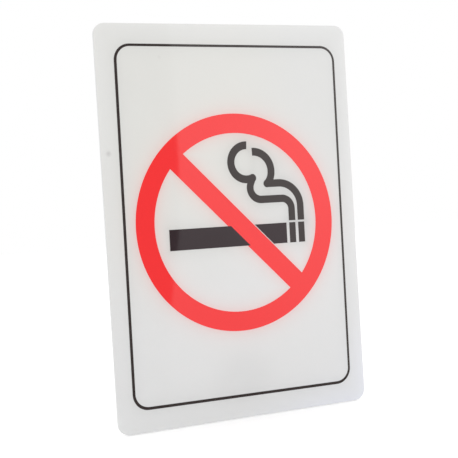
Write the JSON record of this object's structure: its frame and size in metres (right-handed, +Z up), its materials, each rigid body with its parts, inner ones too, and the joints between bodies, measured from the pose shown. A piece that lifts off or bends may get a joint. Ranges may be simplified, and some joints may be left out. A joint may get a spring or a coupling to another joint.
{
  "type": "no smoking sign",
  "caption": "Flat upright no smoking sign: pale rounded plastic plate with a thin black border line and a red ring and slash over a black smoking cigarette.",
  "frame": {"origin": "middle of the flat back face, where the sign is fixed to a wall or a door", "axes": "+Z up the sign, +Y out of its back into the wall, +X to the right of someone who reads it, so the printed face looks along -Y"},
  "size_m": [0.1778, 0.0021, 0.254],
  "materials": {
    "plate_plastic": "glossy pale plastic",
    "red_print": "glossy red ink",
    "black_print": "glossy black ink"
  },
  "bodies": {
    "root": {"plate": "plate_plastic", "border_line": "black_print", "prohibition_ring": "red_print", "cigarette_left": "black_print", "cigarette_right": "black_print", "ember_inner": "black_print", "ember_outer": "black_print", "smoke_inner": "black_print", "smoke_outer": "black_print"}
  },
  "joints": []
}
